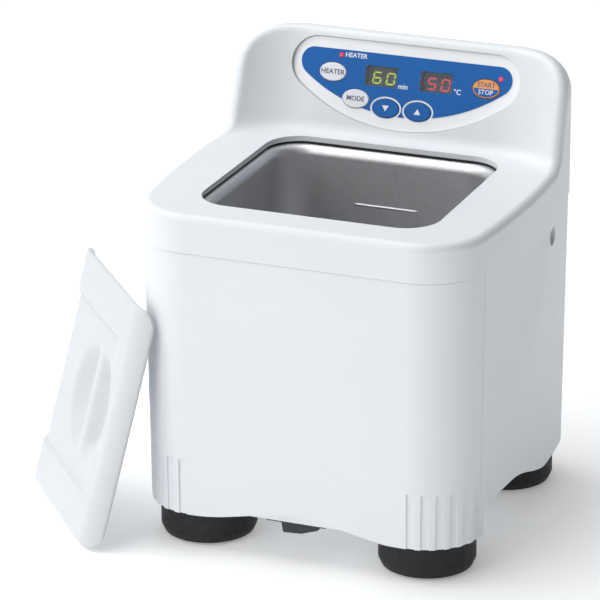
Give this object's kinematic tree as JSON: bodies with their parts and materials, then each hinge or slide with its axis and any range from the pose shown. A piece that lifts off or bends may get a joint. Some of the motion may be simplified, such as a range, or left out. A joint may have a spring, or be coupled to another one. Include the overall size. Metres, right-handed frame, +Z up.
{
  "type": "water bath",
  "caption": "Benchtop heated water bath with a stainless tank, a leaning control panel on a raised hood, round rubber feet and a loose lid.",
  "frame": {"origin": "on the floor plane the feet rest on, midway between the four feet", "axes": "+X to the right seen from the front, +Y from the front to the back, +Z up"},
  "size_m": [0.282, 0.2152, 0.247],
  "materials": {
    "case_white": "satin moulded white",
    "panel_white": "satin white plate",
    "panel_blue": "printed blue film, satin",
    "key_blue": "satin blue",
    "key_pale": "satin pale grey-blue",
    "key_orange": "satin orange over blue",
    "display_dark": "dark display module",
    "window_clear": "clear tinted window",
    "lamp_red": "red lens",
    "steel_tank": "pressed stainless, satin",
    "steel_plain": "plain steel",
    "screw_steel": "zinc plated",
    "black_rubber": "moulded rubber, matt",
    "black_plastic": "moulded black",
    "heater_silicone": "silicone mat",
    "board_green": "laminate with solder mask",
    "piezo_ceramic": "fired ceramic",
    "horn_aluminium": "turned",
    "heat_sink_black": "black anodised",
    "copper_coil": "enamelled copper and ferrite",
    "capacitor_sleeve": "sleeved can",
    "pin_brass": "nickel-flashed brass"
  },
  "bodies": {
    "case": {"top_cover": "case_white", "front_shell": "case_white", "left_side_panel": "case_white", "right_side_panel": "case_white", "rear_cover": "case_white", "base_tray": "case_white", "front_left_foot": "black_rubber", "front_right_foot": "black_rubber", "rear_left_foot": "black_rubber", "rear_right_foot": "black_rubber", "foot_screws": "screw_steel", "side_screws": "screw_steel", "rear_screws": "screw_steel", "clamp_screws": "screw_steel", "board_screws": "screw_steel", "tank": "steel_tank", "tank_gasket": "black_rubber", "tank_clamp_frame": "steel_plain", "left_heater_mat": "heater_silicone", "right_heater_mat": "heater_silicone", "temperature_probe": "steel_plain", "thermal_cutout": "black_plastic", "transducer_horn": "horn_aluminium", "piezo_rings": "piezo_ceramic", "transducer_back_mass": "steel_plain", "transducer_bolt": "screw_steel", "panel_bezel": "panel_white", "panel_overlay": "panel_blue", "key_switches": "black_plastic", "timer_window": "window_clear", "temperature_window": "window_clear", "timer_display": "display_dark", "temperature_display": "display_dark", "heater_lamp": "lamp_red", "run_lamp": "lamp_red", "control_board": "board_green", "driver_board": "board_green", "heat_sink": "heat_sink_black", "output_transformer": "copper_coil", "filter_capacitors": "capacitor_sleeve", "power_switch_body": "black_plastic", "mains_inlet": "black_plastic", "inlet_pins": "pin_brass"},
    "lid": {"lid": "case_white"},
    "power_rocker": {"power_rocker": "black_plastic"},
    "heater_key": {"heater_key": "key_pale"},
    "mode_key": {"mode_key": "key_pale"},
    "down_key": {"down_key": "key_blue"},
    "up_key": {"up_key": "key_blue"},
    "start_stop_key": {"start_stop_key": "key_orange"}
  },
  "joints": [
    {"name": "heater_key_press", "type": "slide", "parent": "case", "child": "heater_key", "axis": [0, 0.949, -0.3152], "range_m": [0, 0.0005], "stiffness_N_per_m": 800},
    {"name": "mode_key_press", "type": "slide", "parent": "case", "child": "mode_key", "axis": [0, 0.949, -0.3152], "range_m": [0, 0.0005], "stiffness_N_per_m": 800},
    {"name": "down_key_press", "type": "slide", "parent": "case", "child": "down_key", "axis": [0, 0.949, -0.3152], "range_m": [0, 0.0005], "stiffness_N_per_m": 800},
    {"name": "up_key_press", "type": "slide", "parent": "case", "child": "up_key", "axis": [0, 0.949, -0.3152], "range_m": [0, 0.0005], "stiffness_N_per_m": 800},
    {"name": "start_stop_key_press", "type": "slide", "parent": "case", "child": "start_stop_key", "axis": [0, 0.949, -0.3152], "range_m": [0, 0.0005], "stiffness_N_per_m": 800},
    {"name": "power_rocker_tilt", "type": "hinge", "parent": "case", "child": "power_rocker", "pos_m": [-0.0015, -0.081, 0.023], "axis": [0, 1, 0], "range_deg": [0, 22]},
    {"name": "lid_lift", "type": "slide", "parent": "case", "child": "lid", "axis": [-0.5608, -0.4823, 0.673], "range_m": [0, 0.25]}
  ]
}
